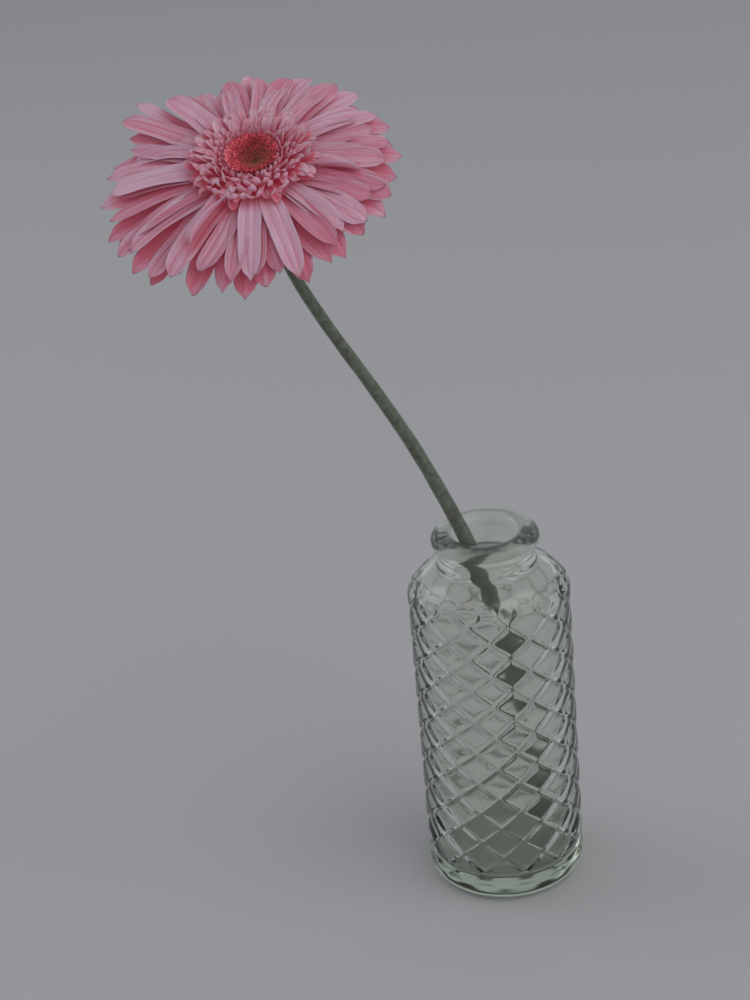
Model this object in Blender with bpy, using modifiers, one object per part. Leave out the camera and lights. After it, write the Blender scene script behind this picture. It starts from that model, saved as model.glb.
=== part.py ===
"""Preserved gerbera standing in a small pressed glass bottle.

The origin is the middle of the bottle's foot, on the surface that it stands on, with +Z up.
The flower leans out of the mouth towards -X and -Y and turns its face to -Y.
Lengths are metres and angles are degrees.
Run it with: blender --background --python part.py
"""

import math
import random
from collections import namedtuple

import bmesh
import bpy
import numpy as np

# Bottle: body, net of diamonds, heel, shoulder, neck and lip
COLUMNS = 48
NET_RADIUS = 0.0310
DIAMOND_RISE = 0.0014
ROW_PITCH = 0.0142
NET_TURN = -2.6
NET_CROSSING = 0.0213
NET_ROWS_BELOW = 3
NET_ROWS_ABOVE = 30
HEEL_RADIUS = 0.0320
HEEL_ROUND = 0.0057
HEEL_RIM = 0.0083
SHOULDER_HEIGHT = 0.1298
SHOULDER_POWER = 1.75
NECK_RADIUS = 0.0187
NECK_HEIGHT = 0.1405
BORE_RADIUS = 0.0140
LIP_RADIUS = 0.0214
LIP_TOP = 0.1550
LIP_ROUND = (0.0030, 0.0038)
MOUTH_RADIUS = 0.0126
MOUTH_ROUND = 0.0022
WALL = 0.0034
FLOOR_THICKNESS = 0.0075
FLOOR_ROUND = 0.0060

# Stem: where it runs in the upright plane of its lean, as reach outwards and height
GAP = 0.0003
STEM_HEADING = 215.0
STEM_ROUTE = (
    (-0.0196, FLOOR_THICKNESS + 2 * GAP),
    (-0.0180, 0.0280),
    (-0.0140, 0.0620),
    (-0.0085, 0.0980),
    (-0.0005, 0.1250),
    (0.0076, 0.1500),
    (0.0168, 0.1722),
    (0.0300, 0.2003),
    (0.0441, 0.2262),
    (0.0621, 0.2573),
    (0.0731, 0.2788),
)
STEM_FOOT_RADIUS = 0.0033
STEM_TOP_RADIUS = 0.0020
STEM_TAPER_FROM = 0.140
STEM_TAPER_POWER = 0.6
STEM_SPAN_STEPS = 3
NECK_BEND = 0.009
NECK_SEAT = 0.0012

# Head: its middle, and how its face is turned
HEAD_PLACE = (-0.0682, -0.0592, 0.3270)
HEAD_TILT = 30.0
HEAD_TURN = -3.0

# Heights in the head, below the top of the disc
CALYX_FOOT = -0.0200
CALYX_TOP = -0.0091
RAY_RING = (-0.0088, -0.0058)
INNER_RING = (-0.0055, -0.0034)
DISC_FOOT = -0.0031

CALYX_FOOT_RADIUS = 0.0031
CALYX_TOP_RADIUS = 0.0118
CALYX_BELLY = ((0.86, 0.36), (0.56, 0.70))
CALYX_NECK_SHARE = 0.93
RING_RADIUS = 0.0130
RAY_RING_CHAMFER = 0.0006
INNER_RING_CHAMFER = 0.0004

# The disc's button, whose top sinks from its rim to its middle, and its florets
DISC_RADIUS = 0.0090
DISC_TOP = ((0.0, -0.0020), (0.0040, -0.0016), (0.0076, -0.0012), (DISC_RADIUS, -0.0018))
FLORETS = 50
FLORET_RADIUS = 0.00064
FLORET_ROOT = -0.0021
FLORET_HEIGHTS = (0.0012, 0.0022)
GOLDEN_ANGLE = 137.508

Whorl = namedtuple("Whorl", "count root_radius root_height length rise fall width")

RAY_WHORLS = (
    Whorl(16, 0.0105, -0.0079, 0.0438, -4, -22, 0.0096),
    Whorl(16, 0.0105, -0.0071, 0.0438, 1, -21, 0.0096),
    Whorl(16, 0.0105, -0.0064, 0.0407, 6, -18, 0.0090),
)
RAY_SEED = 580
SHORT_SIDE = 320.0
SHORT_SHARE = 0.16
RAY_THICKNESS = 0.0007
RAY_CUP = 0.16
RAY_OUTLINE = ((0.0, 0.36), (0.42, 0.90), (0.84, 0.90), (1.0, 0.25))

INNER_WHORLS = (
    Whorl(26, 0.0118, -0.0042, 0.0118, 31, -8, 0.0030),
    Whorl(24, 0.0114, -0.0040, 0.0098, 50, 8, 0.0026),
    Whorl(21, 0.0108, -0.0040, 0.0080, 62, 28, 0.0022),
    Whorl(18, 0.0103, -0.0040, 0.0058, 78, 58, 0.0018),
)
INNER_SEED = 11
INNER_THICKNESS = 0.0008
INNER_OUTLINE = ((0.0, 0.75), (0.6, 1.0), (1.0, 0.35))

BRACT_WHORLS = (
    Whorl(10, 0.0036, -0.0184, 0.0086, 24, 58, 0.0028),
    Whorl(12, 0.0070, -0.0160, 0.0074, 36, 66, 0.0029),
    Whorl(14, 0.0094, -0.0134, 0.0055, 30, 52, 0.0027),
)
BRACT_THICKNESS = 0.0009
BRACT_OUTLINE = ((0.0, 0.8), (0.5, 1.0), (1.0, 0.25))


def clear_scene():
    """Remove whatever the file holds."""
    for old in list(bpy.data.objects):
        bpy.data.objects.remove(old, do_unlink=True)


def new_collection(name):
    """Make a collection in the scene."""
    made = bpy.data.collections.new(name)
    bpy.context.scene.collection.children.link(made)
    return made


def new_material(name, colour, roughness, metallic=0.0, transmission=0.0):
    """A Principled material with one colour."""
    made = bpy.data.materials.new(name)
    made.use_nodes = True
    shader = made.node_tree.nodes["Principled BSDF"]
    shader.inputs["Base Color"].default_value = (*colour, 1.0)
    shader.inputs["Roughness"].default_value = roughness
    shader.inputs["Metallic"].default_value = metallic
    shader.inputs["Transmission Weight"].default_value = transmission
    return made


def arc(centre, radii, start, end, steps, power=2.0):
    """Points on an upright ellipse from one angle to another, both ends included.

    In the first quarter a power under 2 draws the arc flatter, towards a straight slope.
    """
    points = []
    for angle in np.radians(np.linspace(start, end, steps + 1)):
        across, up = math.cos(angle), math.sin(angle)
        if power != 2.0:
            across, up = abs(across) ** (2 / power), abs(up) ** (2 / power)
        points.append((centre[0] + radii[0] * across, centre[1] + radii[1] * up))
    return points


def turned(name, profile, steps, collection):
    """Turn a profile in the XZ plane about Z with a Screw modifier."""
    mesh = bpy.data.meshes.new(name)
    points = [(x, 0.0, z) for x, z in profile]
    mesh.from_pydata(points, [(i, i + 1) for i in range(len(points) - 1)], [])
    made = bpy.data.objects.new(name, mesh)
    collection.objects.link(made)
    screw = made.modifiers.new("turn", "SCREW")
    screw.angle = math.tau
    screw.steps = steps
    screw.render_steps = steps
    screw.use_merge_vertices = True
    screw.merge_threshold = 0.00001
    screw.use_smooth_shade = True
    return made


def apply_modifiers(made):
    """Replace an object's mesh by its evaluated one."""
    bpy.context.view_layer.update()
    evaluated = made.evaluated_get(bpy.context.evaluated_depsgraph_get())
    mesh = bpy.data.meshes.new_from_object(evaluated)
    made.modifiers.clear()
    made.data = mesh
    mesh.name = made.name
    return mesh


def bottle_profile():
    """The glass from the middle of its inner floor, over the lip and down to the middle of its foot."""
    inner = NET_RADIUS - WALL
    inner_shoulder = (inner - BORE_RADIUS, NECK_HEIGHT - SHOULDER_HEIGHT)
    inside = [(0.0, FLOOR_THICKNESS)]
    inside += arc((inner - FLOOR_ROUND, FLOOR_THICKNESS + FLOOR_ROUND), (FLOOR_ROUND, FLOOR_ROUND), -90, 0, 2)
    inside += arc((BORE_RADIUS, SHOULDER_HEIGHT - WALL), inner_shoulder, 0, 80, 3, SHOULDER_POWER)
    lip_middle = LIP_TOP - LIP_ROUND[1]
    inside += [(MOUTH_RADIUS, lip_middle - LIP_ROUND[1])]
    lip = arc((MOUTH_RADIUS + MOUTH_ROUND, LIP_TOP - MOUTH_ROUND), (MOUTH_ROUND, MOUTH_ROUND), 180, 90, 3)
    lip += arc((LIP_RADIUS - LIP_ROUND[0], lip_middle), LIP_ROUND, 90, -75, 4)
    outside = [(NECK_RADIUS, lip_middle - LIP_ROUND[1])]
    shoulder = (NET_RADIUS - NECK_RADIUS, NECK_HEIGHT - SHOULDER_HEIGHT)
    outside += arc((NECK_RADIUS, SHOULDER_HEIGHT), shoulder, 84, 0, 4, SHOULDER_POWER)
    rows = range(NET_ROWS_ABOVE, -NET_ROWS_BELOW - 1, -1)
    outside += [(NET_RADIUS, NET_CROSSING + row * ROW_PITCH / 4) for row in rows]
    outside += [(HEEL_RADIUS, HEEL_RIM)]
    outside += arc((HEEL_RADIUS - HEEL_ROUND, HEEL_ROUND), (HEEL_ROUND, HEEL_ROUND), 0, -90, 3)
    return inside + lip + outside + [(0.0, 0.0)]


def bottle(collection):
    """Pressed glass: a turned body whose net rows rise into diamonds between slanting lines.

    A quarter of a cell is one step both ways. Steps with an even sum lie on the lines or in the
    middle of a diamond, and the rise there is the square root of the product of two sines.
    """
    made = turned("bottle", bottle_profile(), COLUMNS, collection)
    mesh = apply_modifiers(made)
    shape = bmesh.new()
    shape.from_mesh(mesh)
    step_turn = math.tau / COLUMNS
    step_up = ROW_PITCH / 4
    places = {}
    for vert in shape.verts:
        row = (vert.co.z - NET_CROSSING) / step_up
        in_net = -NET_ROWS_BELOW - 0.1 < row < NET_ROWS_ABOVE + 0.1
        if in_net and abs(math.hypot(vert.co.x, vert.co.y) - NET_RADIUS) < 0.00005:
            column = round(math.atan2(vert.co.y, vert.co.x) / step_turn)
            places[vert] = (column, round(row))
    for face in list(shape.faces):
        even = [vert for vert in face.verts if vert in places and sum(places[vert]) % 2 == 0]
        if len(even) == 2 and len(face.verts) == 4:
            bmesh.utils.face_split(face, even[0], even[1])
    for vert, (column, row) in places.items():
        if row > -NET_ROWS_BELOW:
            first = math.sin(math.pi * (column + row) / 4)
            second = math.sin(math.pi * (column - row) / 4)
            rise = DIAMOND_RISE * math.sqrt(abs(first * second))
            outward = vert.co.xy.normalized() * rise
            vert.co.x += outward.x
            vert.co.y += outward.y
    shape.to_mesh(mesh)
    shape.free()
    mesh.shade_smooth()
    made.rotation_euler.z = math.radians(NET_TURN)
    return made


def through(points, steps):
    """A smooth line through all points but the first and last, which only set its ends' directions.

    Each span is a cubic. The line's direction at a point is the step between its neighbours over
    the way along them, so uneven spacing makes no loops.
    """
    points = np.asarray(points, float)
    spans = np.linalg.norm(np.diff(points, axis=0), axis=1)
    slopes = (points[2:] - points[:-2]) / (spans[1:] + spans[:-1])[:, None]
    t = np.linspace(0, 1, steps, endpoint=False)[:, None]
    line = []
    for start, end, slope_in, slope_out, span in zip(points[1:], points[2:], slopes, slopes[1:], spans[1:]):
        line.append(
            start * (2 * t**3 - 3 * t**2 + 1)
            + slope_in * span * (t**3 - 2 * t**2 + t)
            + end * (3 * t**2 - 2 * t**3)
            + slope_out * span * (t**3 - t**2)
        )
    line.append(points[-2][None, :])
    return np.concatenate(line)


def head_axis():
    """The direction that the flower faces."""
    tilt = math.radians(HEAD_TILT)
    turn = math.radians(HEAD_TURN)
    return np.array((math.sin(tilt) * math.sin(turn), -math.sin(tilt) * math.cos(turn), math.cos(tilt)))


def stem(collection):
    """One tapering stalk from the glass floor, past the inside of the lip, to the foot of the calyx."""
    heading = math.radians(STEM_HEADING)
    route = [(reach * math.cos(heading), reach * math.sin(heading), height) for reach, height in STEM_ROUTE]
    axis = head_axis()
    top = np.array(HEAD_PLACE) + axis * (CALYX_FOOT - GAP)
    route += [top - axis * NECK_BEND, top - axis * NECK_SEAT, top, top + axis * NECK_SEAT]
    below = 2 * np.array(route[0]) - np.array(route[1])
    line = through([below, *route], STEM_SPAN_STEPS)
    curve = bpy.data.curves.new("stem", "CURVE")
    curve.dimensions = "3D"
    curve.bevel_depth = STEM_FOOT_RADIUS
    curve.bevel_resolution = 3
    curve.use_fill_caps = True
    spline = curve.splines.new("POLY")
    spline.points.add(len(line) - 1)
    slimmest = STEM_TOP_RADIUS / STEM_FOOT_RADIUS
    for point, place in zip(spline.points, line):
        taper = max(0.0, (place[2] - STEM_TAPER_FROM) / (top[2] - STEM_TAPER_FROM))
        point.co = (*place, 1.0)
        point.radius = 1.0 + (slimmest - 1.0) * taper**STEM_TAPER_POWER
    made = bpy.data.objects.new("stem", curve)
    collection.objects.link(made)
    return made


def blade(name, whorl, azimuth, outline, thickness, cup, collection, twist=0.0, sweep=0.0, lift=0.0):
    """One petal or bract as a closed solid of rings along an arched midrib.

    The midrib leaves the root at the angle rise and bends evenly to the angle fall. Sweep turns it
    sideways with the square of the way along, and twist turns the blade about it. A cupped ring has
    six points, and one with cup 0 has three. Upper and lower face are split into triangles alike.
    """
    along, share = np.array(outline).T
    rise = math.radians(whorl.rise + lift)
    bend = math.radians(whorl.fall - whorl.rise)
    slope = rise + bend * along
    radius = whorl.root_radius + whorl.length * (np.sin(slope) - math.sin(rise)) / bend
    height = whorl.root_height - whorl.length * (np.cos(slope) - math.cos(rise)) / bend
    turn = math.radians(azimuth) + math.radians(sweep) * along**2
    zero = np.zeros_like(turn)
    middle = np.stack([radius * np.cos(turn), radius * np.sin(turn), height], axis=1)
    side = np.stack([-np.sin(turn), np.cos(turn), zero], axis=1)
    forward = np.stack([np.cos(slope) * np.cos(turn), np.cos(slope) * np.sin(turn), np.sin(slope)], axis=1)
    up = np.cross(forward, side)
    roll = (math.radians(twist) * along)[:, None]
    side, up = side * np.cos(roll) + up * np.sin(roll), up * np.cos(roll) - side * np.sin(roll)
    half = (whorl.width / 2 * share)[:, None]
    if cup:
        left = middle - side * half + up * half * cup
        right = middle + side * half + up * half * cup
        under = up * thickness
        rings = np.stack([left, middle, right, right - under, middle - under, left - under], axis=1)
        caps = ((0, 1, 4), (0, 4, 5), (1, 2, 3), (1, 3, 4))
    else:
        rings = np.stack([middle - side * half, middle + side * half, middle - up * thickness], axis=1)
        caps = ((0, 1, 2),)
    count, size = rings.shape[:2]
    faces = []
    for ring in range(count - 1):
        for a in range(size):
            b = (a + 1) % size
            a_here, b_here = ring * size + a, ring * size + b
            a_next, b_next = a_here + size, b_here + size
            if a < size / 2:
                faces += [(a_here, b_here, b_next), (a_here, b_next, a_next)]
            else:
                faces += [(a_here, b_here, a_next), (b_here, b_next, a_next)]
    last = (count - 1) * size
    faces += [cap[::-1] for cap in caps]
    faces += [tuple(last + corner for corner in cap) for cap in caps]
    mesh = bpy.data.meshes.new(name)
    mesh.from_pydata(rings.reshape(-1, 3).tolist(), [], faces)
    shape = bmesh.new()
    shape.from_mesh(mesh)
    bmesh.ops.recalc_face_normals(shape, faces=shape.faces)
    shape.to_mesh(mesh)
    shape.free()
    made = bpy.data.objects.new(name, mesh)
    collection.objects.link(made)
    return made


def keep_outer_body(mesh):
    """Fill the small hollows that blades shut in between them: only the largest closed sheet stays."""
    shape = bmesh.new()
    shape.from_mesh(mesh)
    left = set(shape.faces)
    sheets = []
    while left:
        sheet = {left.pop()}
        edge_of_sheet = list(sheet)
        while edge_of_sheet:
            face = edge_of_sheet.pop()
            near = {other for edge in face.edges for other in edge.link_faces if other in left}
            left -= near
            sheet |= near
            edge_of_sheet += near
        sheets.append(sheet)
    largest = max(sheets, key=len)
    inner = [face for sheet in sheets if sheet is not largest for face in sheet]
    bmesh.ops.delete(shape, geom=inner, context="FACES")
    shape.to_mesh(mesh)
    shape.free()


def fuse(base, repeats, head):
    """Join a core and a collection of repeats in one body on the head, and remove the repeats."""
    for made in [base, *repeats.objects]:
        made.parent = head
    union = base.modifiers.new("fuse", "BOOLEAN")
    union.operation = "UNION"
    union.operand_type = "COLLECTION"
    union.collection = repeats
    union.solver = "EXACT"
    mesh = apply_modifiers(base)
    keep_outer_body(mesh)
    for made in list(repeats.objects):
        bpy.data.objects.remove(made, do_unlink=True)
    bpy.data.collections.remove(repeats)
    mesh.shade_smooth()
    mesh.set_sharp_from_angle(angle=math.radians(50))


def calyx(collection, head):
    """The green cup under the head: a bell with three rows of pointed bracts lying up against it."""
    wide, slim = CALYX_TOP_RADIUS, CALYX_FOOT_RADIUS
    depth = CALYX_TOP - CALYX_FOOT
    profile = [(0.0, CALYX_TOP), (wide, CALYX_TOP)]
    profile += [(wide * across, CALYX_TOP - depth * down) for across, down in CALYX_BELLY]
    profile += [(slim, CALYX_TOP - depth * CALYX_NECK_SHARE), (slim, CALYX_FOOT), (0.0, CALYX_FOOT)]
    bell = turned("calyx", profile, 16, collection)
    bracts = new_collection("bracts")
    for row, whorl in enumerate(BRACT_WHORLS):
        for index in range(whorl.count):
            azimuth = 360 * (index + row / 2) / whorl.count
            blade(f"bract_{row}_{index}", whorl, azimuth, BRACT_OUTLINE, BRACT_THICKNESS, 0.0, bracts)
    fuse(bell, bracts, head)
    return bell


def ring_profile(heights, radius, chamfer):
    """A flat ring's outline from the axis, over its rim and back to the axis."""
    low, high = heights
    return [(0.0, high), (radius - chamfer, high), (radius, high - chamfer), (radius, low), (0.0, low)]


def ray_petals(collection, head):
    """The long petals in three layers, shorter on one side, fused to the ring that they grow from."""
    ring = turned("ray_petals", ring_profile(RAY_RING, RING_RADIUS, RAY_RING_CHAMFER), 24, collection)
    petals = new_collection("long_petals")
    draw = random.Random(RAY_SEED)
    for layer, whorl in enumerate(RAY_WHORLS):
        for index in range(whorl.count):
            azimuth = 360 * (index + layer / 3) / whorl.count + draw.uniform(-3, 3)
            near_short = (1 + math.cos(math.radians(azimuth - SHORT_SIDE))) / 2
            size = draw.uniform(0.95, 1.02) * (1 - SHORT_SHARE * near_short**2)
            own = whorl._replace(length=whorl.length * size, width=whorl.width * draw.uniform(0.88, 1.08))
            twist, sweep, lift = draw.uniform(-10, 10), draw.uniform(-3, 3), draw.uniform(-1.6, 1.6)
            name = f"long_petal_{layer}_{index}"
            blade(name, own, azimuth, RAY_OUTLINE, RAY_THICKNESS, RAY_CUP, petals, twist, sweep, lift)
    fuse(ring, petals, head)
    return ring


def inner_petals(collection, head):
    """Four rings of short curled petals round the disc, steeper towards the middle."""
    ring = turned("inner_petals", ring_profile(INNER_RING, RING_RADIUS, INNER_RING_CHAMFER), 24, collection)
    petals = new_collection("short_petals")
    draw = random.Random(INNER_SEED)
    for row, whorl in enumerate(INNER_WHORLS):
        for index in range(whorl.count):
            azimuth = 360 * (index + row / 2) / whorl.count + draw.uniform(-2, 2)
            own = whorl._replace(length=whorl.length * draw.uniform(0.88, 1.0))
            twist, sweep, lift = draw.uniform(-25, 25), draw.uniform(-6, 6), draw.uniform(-4, 4)
            name = f"short_petal_{row}_{index}"
            blade(name, own, azimuth, INNER_OUTLINE, INNER_THICKNESS, 0.0, petals, twist, sweep, lift)
    fuse(ring, petals, head)
    return ring


def disc_florets(collection, head):
    """The middle: a low button, sunken at its centre, set with florets on a sunflower spiral."""
    profile = [*DISC_TOP, (DISC_RADIUS, DISC_FOOT), (0.0, DISC_FOOT)]
    button = turned("disc_florets", profile, 24, collection)
    florets = new_collection("florets")
    for index in range(FLORETS):
        share = math.sqrt((index + 0.5) / FLORETS)
        angle = math.radians(GOLDEN_ANGLE * index)
        radius = (DISC_RADIUS - FLORET_RADIUS * 1.3) * share
        tall = FLORET_HEIGHTS[0] + (FLORET_HEIGHTS[1] - FLORET_HEIGHTS[0]) * share
        shape = bmesh.new()
        bmesh.ops.create_cone(
            shape, cap_ends=True, segments=4, radius1=FLORET_RADIUS * 1.2, radius2=FLORET_RADIUS, depth=tall
        )
        mesh = bpy.data.meshes.new("floret")
        shape.to_mesh(mesh)
        shape.free()
        made = bpy.data.objects.new(f"floret_{index}", mesh)
        made.location = (radius * math.cos(angle), radius * math.sin(angle), FLORET_ROOT + tall / 2)
        made.rotation_euler.z = angle
        florets.objects.link(made)
    fuse(button, florets, head)
    return button


def build():
    """Make the bottle, the stem and the head's pieces, each with its material."""
    clear_scene()
    parts = new_collection("preserved_gerbera_in_bottle")
    head = bpy.data.objects.new("head", None)
    head.location = HEAD_PLACE
    head.rotation_euler = (math.radians(HEAD_TILT), 0.0, math.radians(HEAD_TURN))
    parts.objects.link(head)
    glass = new_material("clear_glass", (0.86, 0.93, 0.89), 0.03, transmission=1.0)
    stalk = new_material("stalk_green", (0.17, 0.22, 0.14), 0.6)
    bract = new_material("bract_green", (0.16, 0.21, 0.11), 0.65)
    pink = new_material("dusty_pink", (0.62, 0.24, 0.33), 0.55)
    pale = new_material("pale_pink", (0.68, 0.33, 0.43), 0.6)
    coral = new_material("coral_red", (0.45, 0.09, 0.10), 0.7)
    bottle(parts).data.materials.append(glass)
    stem(parts).data.materials.append(stalk)
    calyx(parts, head).data.materials.append(bract)
    ray_petals(parts, head).data.materials.append(pink)
    inner_petals(parts, head).data.materials.append(pale)
    disc_florets(parts, head).data.materials.append(coral)


build()
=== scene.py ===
"""A preserved gerbera in a small pressed glass bottle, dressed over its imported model.

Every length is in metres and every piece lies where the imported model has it.
"""

import math
import random

import bpy
import numpy as np
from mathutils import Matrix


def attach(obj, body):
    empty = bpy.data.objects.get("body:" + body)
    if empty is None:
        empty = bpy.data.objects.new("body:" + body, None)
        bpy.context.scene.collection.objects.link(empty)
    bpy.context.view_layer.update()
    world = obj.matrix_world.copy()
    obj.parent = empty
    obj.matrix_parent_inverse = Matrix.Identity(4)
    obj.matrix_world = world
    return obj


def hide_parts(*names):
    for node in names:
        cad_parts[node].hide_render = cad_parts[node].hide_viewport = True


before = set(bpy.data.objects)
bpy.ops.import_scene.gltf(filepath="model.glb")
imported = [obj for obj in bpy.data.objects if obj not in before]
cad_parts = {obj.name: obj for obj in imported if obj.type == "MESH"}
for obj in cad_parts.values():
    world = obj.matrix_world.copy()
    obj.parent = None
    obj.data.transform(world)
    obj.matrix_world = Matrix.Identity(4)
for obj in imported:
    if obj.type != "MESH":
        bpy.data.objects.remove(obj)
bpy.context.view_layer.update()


# The bottle.
# Clear pressed glass, green where it is thick: walls of three millimetres and a heavy foot.
# The mould gives its outside a net of pillow-shaped diamonds, and the inside stays plain and wavy.

NET_RADIUS = 0.031
NET_CELLS = 12
CELL_STEPS = 24
CELL_ROWS = 20
ROW_PITCH = 0.0142
NET_CROSSING = 0.0213
NET_TURN = math.radians(-2.6)
NET_TOP = NET_CROSSING + 7.75 * ROW_PITCH
NET_FOOT = NET_CROSSING - 0.75 * ROW_PITCH
NET_RINGS = (7.45, -0.85)
DIAMOND_RISE = 0.00136
GROOVE_HALF = 0.108
GROOVE_BEND = (0.80, 1.15)
CROWN_SHARE = 0.48
COLUMN_PULL = 3.5
ARCH_HEIGHT = 0.0056
ARCH_RISE_SHARE = 0.18
ARCH_SOFTNESS = 0.3
NET_FADE_FROM = 0.0008
NET_FADE = 0.006
HEEL_RADIUS = 0.032
HEEL_ROUND = 0.0057
HEEL_RIM = 0.0083
HEEL_SCALLOP = 0.0007
SCALLOP_HEIGHT = 0.0094
SCALLOP_SPREAD = 0.0022
SHOULDER_HEIGHT = 0.1298
SHOULDER_POWER = 1.75
NECK_RADIUS = 0.019
NECK_HEIGHT = 0.1405
BORE_RADIUS = 0.014
LIP_RADIUS = 0.0217
LIP_TOP = 0.155
LIP_ROUND = (0.0030, 0.0038)
LIP_UNDER = 0.0026
MOUTH_RADIUS = 0.0126
MOUTH_ROUND = 0.0022
WALL = 0.0034
FLOOR_THICKNESS = 0.0075
FLOOR_ROUND = 0.006
FLOOR_DOME = 0.0012
PUNT = 0.0003
WALL_WAVE = 0.00005
NECK_RIPPLE = 0.00005
RIPPLE_PITCH = 0.0031
RIPPLE_FROM = 0.132
FINE_ROWS = 0.00076
HEEL_ROWS = 0.0012
FLOOR_ROWS_TO = 0.016
FLOOR_ONE_IN = 3
WALL_ROWS_TO = 0.118
WALL_ONE_IN = 8
INSIDE_EASING = 0.0024
LIP_EASING = 0.0014
HEEL_EASING = 0.0003
CURVE_STEP = 0.00005
SAME_PLACE = 1e-7
COLUMN_FADE_BELOW = 0.003
COLUMN_FADE_ABOVE = (0.010, 0.008)
GLASS_TINT = (0.950, 0.964, 0.922, 1)
GLASS_DEPTH_TINT = (0.66, 0.80, 0.64, 1)
GLASS_DENSITY = 17.0
GLASS_ROUGHNESS = (0.065, 0.13)
LIP_WEAR = 0.11
LIP_WEAR_FROM = NECK_HEIGHT + 0.004
LIP_WEAR_FULL = LIP_TOP - 0.007


def arc(centre, radii, start, end, power=2.0, steps=40):
    """Points on an upright ellipse between two angles in degrees; a power under 2 flattens the arc."""
    angle = np.radians(np.linspace(start, end, steps))
    across, up = np.cos(angle), np.sin(angle)
    across = np.sign(across) * np.abs(across) ** (2 / power)
    up = np.sign(up) * np.abs(up) ** (2 / power)
    return np.stack([centre[0] + radii[0] * across, centre[1] + radii[1] * up], axis=1)


def evenly(parts, spacing, easing=0.0):
    """Join parts of a profile and read it off at an even spacing.

    With easing, each point becomes the bell-weighted mean of those within about that distance,
    which rounds the corners. Both ends keep their places.
    """
    points = np.concatenate([np.atleast_2d(part) for part in parts])
    steps = np.linalg.norm(np.diff(points, axis=0), axis=1)
    points = points[np.concatenate([[True], steps > SAME_PLACE])]
    way = np.concatenate([[0], np.cumsum(np.linalg.norm(np.diff(points, axis=0), axis=1))])
    fine = np.linspace(0, way[-1], int(way[-1] / CURVE_STEP) + 2)
    dense = np.stack([np.interp(fine, way, points[:, axis]) for axis in (0, 1)], axis=1)
    if easing:
        reach = int(3 * easing / CURVE_STEP)
        bell = np.exp(-0.5 * (np.arange(-reach, reach + 1) * CURVE_STEP / easing) ** 2)
        bell = bell / bell.sum()
        before = 2 * dense[0] - dense[reach:0:-1]
        after = 2 * dense[-1] - dense[-2 : -reach - 2 : -1]
        padded = np.concatenate([before, dense, after])
        dense = np.stack([np.convolve(padded[:, axis], bell, "valid") for axis in (0, 1)], axis=1)
    wanted = np.linspace(0, fine[-1], int(fine[-1] / spacing) + 2)
    return np.stack([np.interp(wanted, fine, dense[:, axis]) for axis in (0, 1)], axis=1)


def smooth_step(value):
    """0 below 0, 1 above 1, and three squares less two cubes of the value between."""
    value = np.clip(value, 0, 1)
    return value * value * (3 - 2 * value)


def net_lines(turn, height):
    """Where a turn round the axis and a height lie between the net's lines, for both slants.

    Lines run where the turn in cells plus or minus the height in rows is whole. Each result is the
    distance to the nearest line as a share of the lines' spacing, from 0 on it to a half between
    two. Above and below the net the pattern goes on upright.
    """
    cells = (turn - NET_TURN) / math.tau * NET_CELLS
    rows = (np.clip(height, NET_FOOT, NET_TOP) - NET_CROSSING) / ROW_PITCH
    return tuple(np.abs((cells + slant * rows + 0.5) % 1 - 0.5) for slant in (1, -1))


def groove(distance):
    """0 on a line and 1 beyond its groove: a round bottom, then a narrow rounded brim.

    With x as the distance over the half width, it is x squared over both bends' product up to the
    first bend. From there to the second it is 1 less a square that meets that curve in value and slope.
    """
    x = distance / GROOVE_HALF
    first, second = GROOVE_BEND
    rest = first / (first * second) / (second - first)
    return np.where(x < first, x**2 / (first * second), 1 - rest * np.clip(second - x, 0, None) ** 2)


def net_relief(turn, height):
    """How far the outside stands out at a turn round the axis and a height.

    A diamond is a pillow between grooves, crowned by the root of both sines across it. Over the net
    the upright pattern is lower, and is cut off along a row of round arches. At the foot it fades
    out above the heel, where one low bump a cell ends it in scallops: a squared cosine round the
    axis, times a bell up and down.
    """
    first, second = net_lines(turn, height)
    crown = np.sqrt(np.sin(math.pi * first) * np.sin(math.pi * second))
    relief = groove(first) * groove(second) * (1 - CROWN_SHARE) + CROWN_SHARE * crown
    cells = (turn - NET_TURN) / math.tau * NET_CELLS
    arch = np.sqrt(np.clip(1 - (2 * ((2 * cells + 0.5) % 1) - 1) ** 2, 0, 1))
    over = (height - NET_TOP) / ARCH_HEIGHT
    lower = np.where(over > 0, 1 - (1 - ARCH_RISE_SHARE) * smooth_step(over / 0.5), 1)
    top = smooth_step((arch - over) / ARCH_SOFTNESS) * lower
    foot = smooth_step((height - NET_FOOT - NET_FADE_FROM) / NET_FADE)
    near_heel = np.exp(-(((height - SCALLOP_HEIGHT) / SCALLOP_SPREAD) ** 2))
    scallop = HEEL_SCALLOP * np.cos(math.pi * cells) ** 2 * near_heel
    return DIAMOND_RISE * relief * top * foot + scallop


def gathered_turns(heights):
    """The turns of a ring's columns at each height, closer together in the grooves.

    Within a cell the columns part a density into equal shares. It is 1, plus the pull times a bell
    round each line where the net is, and the bells fade out above and below it.
    """
    fine = np.linspace(0, 1, 481)
    spot = NET_TURN + fine * math.tau / NET_CELLS
    fade = smooth_step((heights - HEEL_RIM) / COLUMN_FADE_BELOW)
    fade = fade * smooth_step((NET_TOP + COLUMN_FADE_ABOVE[0] - heights) / COLUMN_FADE_ABOVE[1])
    density = 1.0
    for distance in net_lines(spot[None, :], heights[:, None]):
        density = density + COLUMN_PULL * fade[:, None] * np.exp(-((distance / GROOVE_HALF) ** 2))
    share = np.cumsum((density + np.roll(density, 1, axis=1)) / 2, axis=1)
    share = (share - share[:, :1]) / (share[:, -1:] - share[:, :1])
    wanted = np.arange(CELL_STEPS) / CELL_STEPS
    within = np.array([np.interp(wanted, row, fine) for row in share])
    cells = within[:, None, :] + np.arange(NET_CELLS)[None, :, None]
    return NET_TURN + cells.reshape(len(heights), -1) * math.tau / NET_CELLS


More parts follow.
